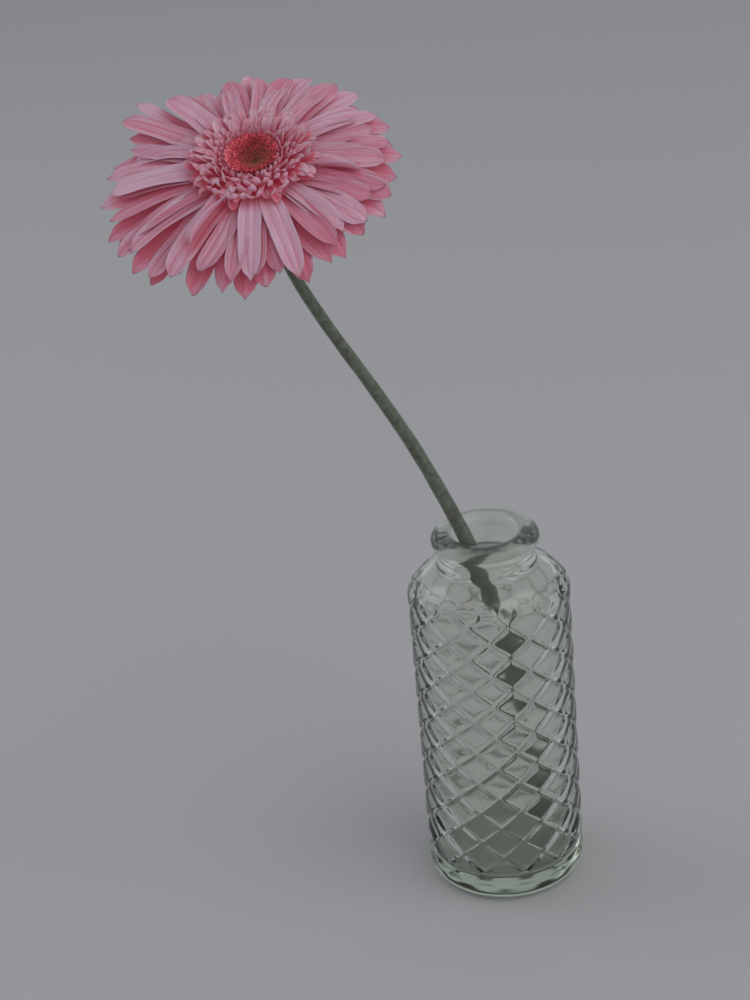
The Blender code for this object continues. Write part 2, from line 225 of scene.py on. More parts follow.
def grid_faces(rows, columns, flip=False):
    """Quads between neighbouring rings of points; the last column joins the first."""
    here = np.arange(rows - 1)[:, None] * columns + np.arange(columns)[None, :]
    beside = np.arange(rows - 1)[:, None] * columns + (np.arange(columns)[None, :] + 1) % columns
    quads = np.stack([here, beside, beside + columns, here + columns], axis=-1).reshape(-1, 4)
    return quads[:, ::-1] if flip else quads


def turned_solid(radius, height, turn, poles):
    """A closed shape from rings round the axis, with each end drawn together at a height on the axis."""
    rings = np.stack([radius * np.cos(turn), radius * np.sin(turn), height + 0 * turn], axis=-1)
    rows, columns = rings.shape[:2]
    points = np.concatenate([rings.reshape(-1, 3), [(0, 0, pole) for pole in poles]])
    faces = grid_faces(rows, columns, flip=True).tolist()
    first = np.arange(columns)
    last = first + (rows - 1) * columns
    pole = np.full(columns, rows * columns)
    faces += np.stack([first, np.roll(first, -1), pole], axis=1).tolist()
    faces += np.stack([np.roll(last, -1), last, pole + 1], axis=1).tolist()
    return points, faces


def new_object(name, data):
    """An object at the origin for a mesh, a light or a camera, linked into the scene."""
    made = bpy.data.objects.new(name, data)
    bpy.context.scene.collection.objects.link(made)
    return made


def make_piece(name, points, faces, material):
    """Put points and faces in a smooth mesh, in an object that rides on the body."""
    mesh = bpy.data.meshes.new(name)
    mesh.from_pydata(np.reshape(points, (-1, 3)).tolist(), [], faces)
    mesh.shade_smooth()
    mesh.materials.append(material)
    piece = new_object(name, mesh)
    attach(piece, "root")
    return piece


def add_node(tree, kind, inputs=None, **settings):
    """Add a shader node. Each input takes a value, or another node's output as a link."""
    made = tree.nodes.new("ShaderNode" + kind)
    for name, value in settings.items():
        setattr(made, name, value)
    for key, value in (inputs or {}).items():
        if isinstance(value, bpy.types.NodeSocket):
            tree.links.new(value, made.inputs[key])
        else:
            made.inputs[key].default_value = value
    return made


def mapped(tree, value, given, wanted):
    """A value moved in proportion from one span to another, and held at the ends."""
    ends = {"From Min": given[0], "From Max": given[1], "To Min": wanted[0], "To Max": wanted[1]}
    return add_node(tree, "MapRange", {"Value": value, **ends}).outputs["Result"]


def worked(tree, operation, first, second=0.0, clamp=False):
    """One of the Math node's sums on two values, held between 0 and 1 where it is clamped."""
    return add_node(tree, "Math", {0: first, 1: second}, operation=operation, use_clamp=clamp).outputs[0]


def noise(tree, place, scale, detail, roughness=0.5):
    """Cloudy noise from 0 to 1 with that many features to a unit, and finer ones laid over them."""
    inputs = {"Vector": place, "Scale": scale, "Detail": detail, "Roughness": roughness}
    return add_node(tree, "TexNoise", inputs).outputs["Fac"]


def new_material(name, **plain):
    """A material whose Principled shader has these plain values, with underscores for spaces."""
    made = bpy.data.materials.new(name)
    made.use_nodes = True
    shader = made.node_tree.nodes["Principled BSDF"]
    for key, value in plain.items():
        shader.inputs[key.replace("_", " ")].default_value = value
    return made, made.node_tree, shader


# From the middle of the inside floor the profile runs up the wall, over the lip and down the outside.
inner = NET_RADIUS - WALL
lip_middle = LIP_TOP - LIP_ROUND[1]
shoulder_size = (NET_RADIUS - NECK_RADIUS, NECK_HEIGHT - SHOULDER_HEIGHT)
shoulder = arc((NECK_RADIUS, SHOULDER_HEIGHT), shoulder_size, 86, 0, SHOULDER_POWER)
ahead = np.gradient(shoulder, axis=0)
ahead /= np.linalg.norm(ahead, axis=1)[:, None]
inner_shoulder = (shoulder + np.stack([ahead[:, 1], -ahead[:, 0]], axis=1) * WALL)[::-1]
parts = [
    (0.0015, FLOOR_THICKNESS + FLOOR_DOME),
    (inner * 0.35, FLOOR_THICKNESS + FLOOR_DOME * 0.75),
    (inner - FLOOR_ROUND, FLOOR_THICKNESS),
    arc((inner - FLOOR_ROUND, FLOOR_THICKNESS + FLOOR_ROUND), (FLOOR_ROUND, FLOOR_ROUND), -90, 0),
    inner_shoulder,
    (BORE_RADIUS, NECK_HEIGHT - 0.0005),
    (MOUTH_RADIUS, lip_middle - LIP_ROUND[1]),
]
inside = evenly(parts, FINE_ROWS, INSIDE_EASING)
# Inside, the plain floor and wall keep only one ring in a few.
one_in = np.where(inside[:, 1] < WALL_ROWS_TO, WALL_ONE_IN, 1)
one_in = np.where(inside[:, 1] < FLOOR_ROWS_TO, FLOOR_ONE_IN, one_in)
inside = inside[np.arange(len(inside)) % one_in == 0]
parts = [
    (MOUTH_RADIUS, lip_middle - LIP_ROUND[1]),
    arc((MOUTH_RADIUS + MOUTH_ROUND, LIP_TOP - MOUTH_ROUND), (MOUTH_ROUND, MOUTH_ROUND), 180, 90),
    arc((LIP_RADIUS - LIP_ROUND[0], lip_middle), LIP_ROUND, 90, 0),
    arc((NECK_RADIUS, lip_middle), (LIP_RADIUS - NECK_RADIUS, LIP_UNDER), 0, -80),
    (NECK_RADIUS, lip_middle - LIP_UNDER),
    shoulder,
    (NET_RADIUS, NET_TOP - 0.004),
]
lip = evenly(parts, FINE_ROWS, LIP_EASING)
step_up = ROW_PITCH / CELL_ROWS
ring_numbers = np.arange(int(NET_RINGS[0] * CELL_ROWS), int(NET_RINGS[1] * CELL_ROWS), -1)
net_heights = NET_CROSSING + step_up * ring_numbers
lip = lip[(lip[:, 1] > net_heights[0] + step_up / 2) | (np.arange(len(lip)) < len(lip) // 3)]
net = np.stack([np.full(len(net_heights), NET_RADIUS), net_heights], axis=1)
parts = [
    (NET_RADIUS, net_heights[-1] - step_up),
    (HEEL_RADIUS, HEEL_RIM - 0.0004),
    arc((HEEL_RADIUS - HEEL_ROUND, HEEL_ROUND), (HEEL_ROUND, HEEL_ROUND), 0, -90),
    (HEEL_RADIUS * 0.72, 0.0),
    (HEEL_RADIUS * 0.55, PUNT * 0.6),
    (HEEL_RADIUS * 0.30, PUNT * 0.9),
]
heel = evenly(parts, HEEL_ROWS, HEEL_EASING)
under = np.array([(HEEL_RADIUS * 0.15, PUNT * 0.98), (HEEL_RADIUS * 0.04, PUNT)])
profile = np.concatenate([inside[:-1], lip, net, heel, under])
outside_from = len(inside) - 1 + len(lip) // 4

# Turned round the axis, the outside takes the net, and the inside wavers and has faint rings in the neck.
columns = NET_CELLS * CELL_STEPS
radius, height = profile[:, :1], profile[:, 1:]
is_outside = np.arange(len(profile))[:, None] >= outside_from
even_turns = NET_TURN + math.tau * np.arange(columns)[None, :] / columns
turn = np.where(is_outside, gathered_turns(profile[:, 1]), even_turns)
wave = WALL_WAVE * (np.sin(3 * turn + height * 160) + np.sin(5 * turn - height * 230 + 1.3))
wave = wave * smooth_step((radius - 0.010) / 0.006) * smooth_step((0.140 - height) / 0.010)
ripple = NECK_RIPPLE * np.sin(height * math.tau / RIPPLE_PITCH)
wave = wave + ripple * smooth_step((height - RIPPLE_FROM) / 0.006)
radius = radius + np.where(is_outside, net_relief(turn, height + 0 * turn), wave)
points, faces = turned_solid(radius, height, turn, (FLOOR_THICKNESS + FLOOR_DOME, PUNT))

glass, tree, shader = new_material("pressed_glass", Base_Color=GLASS_TINT, Transmission_Weight=1.0, IOR=1.5)
place = add_node(tree, "TexCoord").outputs["Object"]
level = add_node(tree, "SeparateXYZ", {"Vector": place}).outputs["Z"]
film = mapped(tree, noise(tree, place, 55.0, 3.0), (0.4, 0.75), GLASS_ROUGHNESS)
worn = mapped(tree, level, (LIP_WEAR_FROM, LIP_WEAR_FULL), (0.0, LIP_WEAR))
tree.links.new(worked(tree, "ADD", film, worn), shader.inputs["Roughness"])
depth = add_node(tree, "VolumeAbsorption", {"Color": GLASS_DEPTH_TINT, "Density": GLASS_DENSITY})
tree.links.new(depth.outputs["Volume"], tree.nodes["Material Output"].inputs["Volume"])

bottle = make_piece("bottle_glass", points, faces, glass)
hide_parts("bottle")


# The stem.
# One bare flower stalk, grey-green, finely grooved along its length and covered in short down.
# It stands loose in the bottle on its cut end and leans on the inner edge of the mouth.

GAP = 0.0003
STEM_HEADING = math.radians(215.0)
STEM_ROUTE = (
    (-0.0196, FLOOR_THICKNESS + 2 * GAP),
    (-0.0180, 0.0280),
    (-0.0140, 0.0620),
    (-0.0085, 0.0980),
    (-0.0005, 0.1250),
    (0.0076, 0.1500),
    (0.0168, 0.1722),
    (0.0300, 0.2003),
    (0.0441, 0.2262),
    (0.0621, 0.2573),
    (0.0731, 0.2788),
)
STEM_FOOT_RADIUS = 0.0033
STEM_TOP_RADIUS = 0.002
STEM_TAPER_FROM = 0.14
STEM_TAPER_POWER = 0.6
STEM_RIBS = 9
RIB_DEPTH = 0.00008
FINE_RIBS = 17
SWELLING = 0.00006
STEM_COLUMNS = 54
SPAN_STEPS = 22
HAIRS = 5000
HAIR_LENGTH = 0.00062
HAIR_RADIUS = 0.000022
HAIR_ROOT = 0.0002
HAIR_SEED = 4
BARE_RINGS = 30
NECK_BEND = 0.009
NECK_SEAT = 0.0012
HEAD_PLACE = np.array([-0.0682, -0.0592, 0.3270])
HEAD_TILT = math.radians(30.0)
HEAD_TURN = math.radians(-3.0)
CALYX_FOOT = -0.02
STALK_GREENS = ((0.085, 0.115, 0.078, 1), (0.165, 0.190, 0.140, 1))
SCAR_BROWN = (0.085, 0.060, 0.036, 1)


def through(points, steps):
    """A smooth line through all points but the first and last, which only set its ends' directions.

    Each span is a cubic. The direction at a point is the step between its neighbours over the way
    along them.
    """
    points = np.asarray(points, float)
    spans = np.linalg.norm(np.diff(points, axis=0), axis=1)
    slopes = (points[2:] - points[:-2]) / (spans[1:] + spans[:-1])[:, None]
    t = np.linspace(0, 1, steps, endpoint=False)[None, :, None]
    start, end = points[1:-2, None], points[2:-1, None]
    slope_in, slope_out = slopes[:-1, None], slopes[1:, None]
    span = spans[1:-1, None, None]
    line = start * (2 * t**3 - 3 * t**2 + 1) + end * (3 * t**2 - 2 * t**3)
    line = line + span * (slope_in * (t**3 - 2 * t**2 + t) + slope_out * (t**3 - t**2))
    return np.concatenate([line.reshape(-1, 3), points[-2:-1]])


def frames_along(line):
    """Unit vectors at each point of a line: ahead along it, square to that and to +Y, and square to both."""
    ahead = np.gradient(line, axis=0)
    ahead /= np.linalg.norm(ahead, axis=1)[:, None]
    side = np.cross(ahead, (0.0, 1.0, 0.0))
    side /= np.linalg.norm(side, axis=1)[:, None]
    return ahead, side, np.cross(ahead, side)


def tube_faces(count, rings, size, flip=False):
    """The faces of tubes with that many rings of that many points, capped at root and tip.

    They point outwards where a ring runs anticlockwise as seen from the tip, and need the flip
    where it runs clockwise.
    """
    one = grid_faces(rings, size)
    faces = (one[None] + np.arange(count)[:, None, None] * rings * size).reshape(-1, 4).tolist()
    for index in range(count):
        start = index * rings * size
        faces.append(list(range(start, start + size))[::-1])
        faces.append(list(range(start + (rings - 1) * size, start + rings * size)))
    return [face[:1] + face[:0:-1] for face in faces] if flip else faces


def joined(parts):
    """One set of points and faces from several."""
    points, faces, start = [], [], 0
    for part, part_faces in parts:
        part = np.reshape(part, (-1, 3))
        points.append(part)
        faces += [[corner + start for corner in face] for face in part_faces]
        start += len(part)
    return np.concatenate(points), faces


def blended(tree, share, first, second):
    """A colour that goes from the first to the second by a share from 0 to 1."""
    return add_node(tree, "Mix", {0: share, 6: first, 7: second}, data_type="RGBA").outputs[2]


def scaled(tree, colour, share):
    """A colour multiplied by a share."""
    return add_node(tree, "VectorMath", {0: colour, 1: share}, operation="MULTIPLY").outputs["Vector"]


def roughen(tree, shader, height, strength, distance):
    """Shade a surface as if it stood out by a height pattern, at that strength and depth."""
    bump = add_node(tree, "Bump", {"Height": height, "Strength": strength, "Distance": distance})
    tree.links.new(bump.outputs["Normal"], shader.inputs["Normal"])


tilt_sin, tilt_cos = math.sin(HEAD_TILT), math.cos(HEAD_TILT)
turn_sin, turn_cos = math.sin(HEAD_TURN), math.cos(HEAD_TURN)
head_turns = np.array(
    [
        [turn_cos, -tilt_cos * turn_sin, tilt_sin * turn_sin],
        [turn_sin, tilt_cos * turn_cos, -tilt_sin * turn_cos],
        [0.0, tilt_sin, tilt_cos],
    ]
)
head_axis = head_turns[:, 2]
stem_top = HEAD_PLACE + head_axis * (CALYX_FOOT - GAP)
route = [(reach * math.cos(STEM_HEADING), reach * math.sin(STEM_HEADING), up) for reach, up in STEM_ROUTE]
route += [stem_top + head_axis * past for past in (-NECK_BEND, -NECK_SEAT, 0.0, NECK_SEAT)]
route = [2 * np.array(route[0]) - np.array(route[1]), *route]
line = through(route, SPAN_STEPS)
ahead, side, other = frames_along(line)
taper = np.clip((line[:, 2] - STEM_TAPER_FROM) / (stem_top[2] - STEM_TAPER_FROM), 0, 1)
thick = STEM_FOOT_RADIUS + (STEM_TOP_RADIUS - STEM_FOOT_RADIUS) * taper**STEM_TAPER_POWER
way = np.concatenate([[0], np.cumsum(np.linalg.norm(np.diff(line, axis=0), axis=1))])
around = math.tau * np.arange(STEM_COLUMNS)[None, :] / STEM_COLUMNS
# Coarse and fine ribs wind slowly round the stalk, which also swells a little here and there.
ribs = np.cos(STEM_RIBS * around + way[:, None] * 14) + 0.5 * np.cos(FINE_RIBS * around - way[:, None] * 40)
swell = SWELLING * np.sin(way * 310)[:, None] * np.sin(2 * around + way[:, None] * 55)
stem_radius = thick[:, None] - RIB_DEPTH * (1.5 - ribs) / 2 + swell - SWELLING
points = line[:, None] + stem_radius[..., None] * (
    np.cos(around)[..., None] * side[:, None] + np.sin(around)[..., None] * other[:, None]
)
rows = len(line)
faces = tube_faces(1, rows, STEM_COLUMNS)

# Each hair is a thin three-sided cone, rooted in the skin at random and leaning its own way.
draw = np.random.default_rng(HAIR_SEED)
at, facing = draw.integers(BARE_RINGS, rows - 1, HAIRS), draw.uniform(0, math.tau, HAIRS)
outward = np.cos(facing)[:, None] * side[at] + np.sin(facing)[:, None] * other[at]
beside = np.cross(ahead[at], outward)
roots = line[at] + draw.uniform(0, 1, HAIRS)[:, None] * (line[at + 1] - line[at])
roots = roots + outward * (thick[at] - HAIR_ROOT)[:, None]
lean = draw.uniform(-0.5, 0.7, (HAIRS, 1)) * ahead[at] + draw.uniform(-0.5, 0.5, (HAIRS, 1)) * beside
tips = roots + (outward + lean) * draw.uniform(0.5, 1.0, HAIRS)[:, None] * HAIR_LENGTH
corner = math.tau * np.arange(3) / 3
base = roots[:, None] + HAIR_RADIUS * (
    np.cos(corner)[None, :, None] * ahead[at][:, None] + np.sin(corner)[None, :, None] * beside[:, None]
)
hairs = np.concatenate([base, tips[:, None]], axis=1)
cone = np.array([(0, 1, 2), (1, 0, 3), (2, 1, 3), (0, 2, 3)])
cones = (cone[None] + 4 * np.arange(HAIRS)[:, None, None]).reshape(-1, 3).tolist()
points, faces = joined([(points, faces), (hairs, cones)])

stalk, tree, shader = new_material("downy_stalk", Roughness=0.68, Sheen_Weight=0.25, Sheen_Roughness=0.45)
place = add_node(tree, "TexCoord").outputs["Object"]
fibre = noise(tree, place, 420.0, 3.0, 0.6)
green = blended(tree, noise(tree, place, 38.0, 2.0), *STALK_GREENS)
fleck = mapped(tree, fibre, (0.35, 0.7), (0.7, 1.3))
toned = scaled(tree, green, fleck)
scarred = mapped(tree, noise(tree, place, 130.0, 4.0, 0.7), (0.55, 0.64), (0.0, 0.6))
tree.links.new(blended(tree, scarred, toned, SCAR_BROWN), shader.inputs["Base Color"])
roughen(tree, shader, fibre, 0.35, 0.0003)

stem = make_piece("stem_stalk", points, faces, stalk)
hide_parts("stem")


# The bracts.
# A green cup of narrow pointed bracts in three rows under the head, each overlapping the next.
# They grow from the bell that the stalk widens into, and hold the petals' roots from below.

CALYX_TOP = -0.0091
CALYX_FOOT_RADIUS = 0.0031
CALYX_TOP_RADIUS = 0.0118
CALYX_BELLY = ((0.86, 0.36), (0.56, 0.70))
CALYX_NECK_SHARE = 0.93
BRACT_ROWS = (
    dict(count=10, radius=0.0036, height=-0.0184, length=0.0086, rise=24, fall=58, width=0.0034),
    dict(count=12, radius=0.0070, height=-0.0160, length=0.0074, rise=36, fall=66, width=0.0034),
    dict(count=14, radius=0.0094, height=-0.0134, length=0.0055, rise=30, fall=52, width=0.0031),
)
BRACT_SEED = 5
BRACT_GREENS = ((0.3, (0.085, 0.125, 0.055, 1)), (0.72, (0.215, 0.275, 0.140, 1)))
HEAD_COLUMNS = 48


def on_head(points):
    """Points given about the middle of the flower's face, in their place on the head."""
    return np.asarray(points) @ head_turns.T + HEAD_PLACE


def blades(leaf, along, across, outline, section, thickness):
    """Petals or bracts as closed flat tubes: leaves, then rings along each, then points round a ring.

    The midrib leaves the root at the angle rise and bends evenly to fall, with a curl that grows as
    the fourth power of the way along. Its reach and height are the running sums of the cosine and
    sine of that slope. Sweep turns it sideways with the square of the way, and twist rolls it. A
    point lies half the width times the outline to the side, and is lifted by the section. The ring
    comes back underneath, lower by the thickness, so the blade is closed all round.
    """
    s = along[None, :]
    rise, fall, curl = (np.radians(leaf[key])[:, None] for key in ("rise", "fall", "curl"))
    slope = rise + (fall - rise) * s + curl * s**4
    step = np.diff(along, prepend=along[0])[None, :] * leaf["length"][:, None]
    middle_slope = (slope + np.roll(slope, 1, axis=1)) / 2
    radius = leaf["radius"][:, None] + np.cumsum(np.cos(middle_slope) * step, axis=1)
    height = leaf["height"][:, None] + np.cumsum(np.sin(middle_slope) * step, axis=1)
    turn = np.radians(leaf["azimuth"])[:, None] + np.radians(leaf["sweep"])[:, None] * s**2
    roll = np.radians(leaf["twist"])[:, None] * s
    cos, sin, zero = np.cos(turn), np.sin(turn), np.zeros_like(turn)
    middle = np.stack([radius * cos, radius * sin, height], axis=-1)
    side = np.stack([-sin, cos, zero], axis=-1)
    forward = np.stack([np.cos(slope) * cos, np.cos(slope) * sin, np.sin(slope)], axis=-1)
    up = np.cross(forward, side)
    cos, sin = np.cos(roll)[..., None], np.sin(roll)[..., None]
    side, up = side * cos + up * sin, up * cos - side * sin
    half = (leaf["width"] / 2)[:, None] * outline
    t = ring_places(across)
    under = np.concatenate([np.zeros(len(across)), np.ones(len(across) - 2)])
    lift, ahead = section(leaf, along[None, :, None], t[None, None, :], half[..., None])
    lift = lift - under * thickness(along[None, :, None], t[None, None, :])
    sideways = side[:, :, None] * (half[..., None] * t)[..., None]
    raised = up[:, :, None] * lift[..., None]
    return middle[:, :, None] + sideways + raised + forward[:, :, None] * ahead[..., None]


def gathered(leaves):
    """A list of leaves as one array for each of their measures."""
    return {key: np.array([leaf[key] for leaf in leaves], float) for key in leaves[0]}


def ring_places(across):
    """Where the points of a blade's ring lie across it: over its top, then back underneath."""
    return np.concatenate([across, across[-2:0:-1]])


def revolved(profile):
    """Points and faces of a profile that starts and ends on the head's axis, turned about it."""
    turn = math.tau * np.arange(HEAD_COLUMNS)[None, :] / HEAD_COLUMNS
    return turned_solid(profile[1:-1, :1], profile[1:-1, 1:], turn, (profile[0, 1], profile[-1, 1]))


def ramped(tree, value, stops):
    """A colour read off a ramp, whose stops are places from 0 to 1, each with its colour."""
    ramp = add_node(tree, "ValToRGB", {"Fac": value})
    elements = ramp.color_ramp.elements
    elements[0].position, elements[0].color = stops[0]
    elements[1].position, elements[1].color = stops[-1]
    for place, colour in stops[1:-1]:
        elements.new(place).color = colour
    return ramp.outputs["Color"]


def bract_section(leaf, s, t, half):
    """A trough whose edges rise with the square of the way out, less a narrow bell along its middle."""
    return half * 0.30 * t**2 - 0.00018 * np.exp(-((t / 0.16) ** 2)), 0 * t * s


def bract_thickness(s, t):
    """A least thickness, and more that falls with the square of the way out and evenly to the tip."""
    return 0.00030 + 0.00055 * (1 - t**2) * (1 - 0.7 * s)


depth = CALYX_TOP - CALYX_FOOT
bell = [(0.0, CALYX_TOP), (CALYX_TOP_RADIUS, CALYX_TOP)]
bell += [(CALYX_TOP_RADIUS * wide, CALYX_TOP - depth * down) for wide, down in CALYX_BELLY]
bell += [(CALYX_FOOT_RADIUS, CALYX_TOP - depth * CALYX_NECK_SHARE), (CALYX_FOOT_RADIUS, CALYX_FOOT)]
bell += [(0.0, CALYX_FOOT)]
parts = [revolved(evenly([np.array(bell)], 0.0007, 0.0004))]
along = np.linspace(0, 1, 14)
across = np.linspace(-1, 1, 9)
outline = (0.75 + 0.3 * np.sin(math.pi * along)) * np.clip(1 - along**3.2, 0.012, None) ** 0.8
draw = random.Random(BRACT_SEED)
for row, kind in enumerate(BRACT_ROWS):
    leaves = []
    for index in range(kind["count"]):
        own = dict(
            length=kind["length"] * draw.uniform(0.94, 1.03),
            curl=draw.uniform(-14, 4),
            azimuth=360 * (index + row / 2) / kind["count"],
            sweep=draw.uniform(-3, 3),
            twist=draw.uniform(-6, 6),
        )
        leaves.append({**kind, **own})
    scales = blades(gathered(leaves), along, across, outline[None, :], bract_section, bract_thickness)
    parts.append((scales, tube_faces(*scales.shape[:3], flip=True)))
points, faces = joined(parts)

bract, tree, shader = new_material("bract_skin", Roughness=0.66, Sheen_Weight=0.3)
place = add_node(tree, "TexCoord").outputs["Object"]
leafy = ramped(tree, noise(tree, place, 190.0, 3.0), BRACT_GREENS)
tree.links.new(leafy, shader.inputs["Base Color"])
roughen(tree, shader, noise(tree, place, 900.0, 2.0), 0.3, 0.0002)

bracts = make_piece("calyx_bracts", on_head(points), faces, bract)
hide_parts("calyx")


# The long petals.
# Five layers of strap-shaped florets, dry and papery, each with lengthwise creases and a blunt tip.
# They are one growth with the ring that they grow from, arch outwards and droop at their ends.

RING_RADIUS = 0.013
RAY_RING = ((-0.0088, -0.0058), RING_RADIUS, 0.0006)
# The painted shade among the long petals: its most, the cell, and the depth that gives the most.
RAY_BURIED_SHADE = dict(most=0.6, cell=0.0014, depth=0.0030)
RAY_ROOT = 0.0105
RAY_ROWS = (
    dict(count=16, height=-0.0079, length=0.0438, rise=-4, fall=-22, width=0.0096),
    dict(count=16, height=-0.0071, length=0.0438, rise=1, fall=-21, width=0.0096),
    dict(count=16, height=-0.0064, length=0.0407, rise=6, fall=-18, width=0.0090),
    dict(count=17, height=-0.0059, length=0.0385, rise=8, fall=-23, width=0.0078),
    dict(count=14, height=-0.0056, length=0.0330, rise=10, fall=-24, width=0.0066),
)
RAY_SEED = 580
RAY_LOOKS_SEED = 23
RAY_STRETCH = 1.01
RAY_FOLDS = (-0.45, -0.3, -0.15, 0.15, 0.3, 0.5)
RAY_POINTS = (0.42, 0.52, 0.62, 0.78, 1.00)
SHORT_SIDE = 320.0
SHORT_SHARE = 0.16
BACK_SIDE = 90.0
PALE_SIDES = (187, 270, 292, 40, 318)
PALE_SPREAD = 7.0
LONE_RAY = dict(
    radius=RAY_ROOT, height=-0.0060, length=0.040, rise=6, fall=-18, curl=0, width=0.0075, azimuth=0, sweep=0,
    twist=0, cup=0.2, fold=0.2, wave=0.08, phase=1.0, shade=0.5, point=0.5, layer=-1,
)
LONE_RAYS = (
    dict(azimuth=131, length=0.0385, height=-0.0055, rise=7, fall=-14, width=0.0090, shade=0.7),
    dict(azimuth=139, length=0.0475, height=-0.0085, rise=0, fall=-4, width=0.0056, shade=1.2, layer=0),
    dict(azimuth=149, length=0.0450, height=-0.0064, rise=4, fall=-10, width=0.0088, shade=0.4),
    dict(azimuth=271, length=0.0370, height=-0.0050, rise=13, fall=-32, width=0.0080, point=0.95, shade=1.2),
    dict(azimuth=290, length=0.0395, height=-0.0050, rise=12, fall=-29, width=0.0082, point=0.8, shade=0.9),
    dict(azimuth=203, length=0.0440, height=-0.0074, rise=-1, fall=-20, width=0.0086, shade=0.2),
    dict(azimuth=213, length=0.0440, height=-0.0068, rise=1, fall=-20, width=0.0084, point=0.42),
    dict(azimuth=222, length=0.0440, height=-0.0074, rise=-1, fall=-20, width=0.0088, shade=0.2),
    dict(azimuth=230, length=0.0425, height=-0.0064, rise=3, fall=-22, width=0.0086, fold=-0.4, point=0.40),
    dict(azimuth=242, length=0.0300, height=-0.0050, rise=20, fall=-14, width=0.0058, twist=55, cup=0.9),
    dict(azimuth=186, length=0.0390, height=-0.0054, rise=8, fall=-20, width=0.0088, shade=1.2),
    dict(azimuth=352, length=0.0260, height=-0.0050, rise=18, fall=-22, width=0.0060, twist=-50, cup=0.8),
)
LONE_ROOM = 7.0
CREASE_AT = 0.36
CREASE_WIDTH = 0.085
CREASE_DEPTH = 0.00065
TOOTH_DEPTH = 0.00055
PINK = dict(root=(0.64, 0.110, 0.175), body=(0.71, 0.235, 0.340), pale=(0.83, 0.51, 0.65))
# Strength of the painted glow of the root's colour.
PAINTED_GLOW = 0.12
STREAK_TONE = 0.34
BLOTCH_TONE = 0.25
MARGIN_TONE = 0.7
# Painted shade along each crease.
CREASE_PAINTED_SHADE = -0.4


def ray_section(leaf, s, t, half):
    """Cross-section of a long petal.

    Its edges are raised by the cup, two creases run lengthwise and fade at root and tip, a low rib
    lies between them, one half stands higher by the fold, and the margins wave a little. Near the
    tip the end is cut in shallow teeth, with its corners drawn back.
    """
    cup, wave, phase, fold = (leaf[key][:, None, None] for key in ("cup", "wave", "phase", "fold"))
    body = np.sin(math.pi * np.clip(s * 1.02, 0, 1)) ** 0.5
    creases = np.exp(-(((np.abs(t) - CREASE_AT) / CREASE_WIDTH) ** 2)) - 0.5 * np.exp(-((t / 0.15) ** 2))
    creases = creases + 0.35 * np.exp(-(((np.abs(t) - 0.74) / 0.08) ** 2))
    edge = np.abs(t) ** 3 * np.sin(9 * s + phase + 1.6 * np.sign(t)) * wave
    cupped = cup * np.abs(t) ** 1.5 * (0.5 + 0.5 * s)
    folded = fold * np.clip(t * np.sign(fold), 0, 1) ** 1.2 * s
    lift = half * (cupped + folded + edge) - CREASE_DEPTH * creases * body
    end = smooth_step((s - 0.90) / 0.10)
    ahead = end * (-0.25 * half * t**2 - TOOTH_DEPTH * (1 - np.cos(3 * math.pi * t)) / 2)
    return lift, ahead


def ray_thickness(s, t):
    """A least thickness, and more that falls with the square of the way out and evenly to the tip."""
    return 0.00012 + 0.00042 * (1 - t**2) * (1 - 0.6 * s)


def washer(levels, radius, rounding):
    """The profile of a flat round plate between two levels, with its outer edges rounded off."""
    low, high = levels
    corners = [(0.0, high), (radius - rounding, high), (radius, high - rounding), (radius, low), (0.0, low)]
    return evenly([np.array(corners)], 0.0009)


def mark(piece, **values):
    """Store named values on a piece's points for its material to read."""
    for name, value in values.items():
        made = piece.data.attributes.new(name, "FLOAT", "POINT")
        made.data.foreach_set("value", np.ascontiguousarray(value, dtype=np.float32).ravel())


def read_marks(tree, *names):
    """The values marked on a piece's points, as outputs by their names."""
    return {name: add_node(tree, "Attribute", attribute_name=name).outputs["Fac"] for name in names}


def buried(points, most, cell, depth):
    """How deep each point lies under the bloom's top near it, from 0 to the most at that depth.

    The top is the greatest height in each square cell of the face, averaged over the cell and its
    filled neighbours. The petals' material paints shade by this amount.
    """
    flat = np.reshape(points, (-1, 3))
    place = np.floor(flat[:, :2] / cell).astype(int)
    place = tuple((place - place.min(axis=0) + 1).T)
    top = np.full((place[0].max() + 2, place[1].max() + 2), -1.0)
    np.maximum.at(top, place, flat[:, 2])
    shifts = [(across, down) for across in (-1, 0, 1) for down in (-1, 0, 1)]
    near = np.stack([np.roll(top, shift, axis=(0, 1)) for shift in shifts])
    mean = (near * (near > -1)).sum(axis=0) / np.maximum((near > -1).sum(axis=0), 1)
    return most * np.clip((mean[place] - flat[:, 2]) / depth, 0, 1)


def petal_whorl(name, petals, leaf, along, across, washer_size, buried_shade_setting, material):
    """Petals and the washer that they grow from as one piece.

    Marked on its points for the material are the way along the petal and across it, the petal's
    shade, and the painted shade for how far the point lies under other petals. The washer has zeros
    there and gets the full painted shade.
    """
    shape = petals.shape[:3]
    plate = revolved(washer(*washer_size))
    points, faces = joined([(petals, tube_faces(*shape, flip=True)), plate])
    made = make_piece(name, on_head(points), faces, material)
    marks = {
        "along": along[None, :, None],
        "across": ring_places(across)[None, None, :],
        "shade": leaf["shade"][:, None, None],
    }
    for key, values in marks.items():
        marks[key] = np.concatenate([np.broadcast_to(values, shape).ravel(), np.zeros(len(plate[0]))])
    mark(made, **marks, buried=np.concatenate([buried(petals, **buried_shade_setting), np.ones(len(plate[0]))]))
    return made


def turn_between(azimuth, other):
    """The smaller angle between two azimuths, in degrees."""
    return abs((azimuth - other + 180) % 360 - 180)


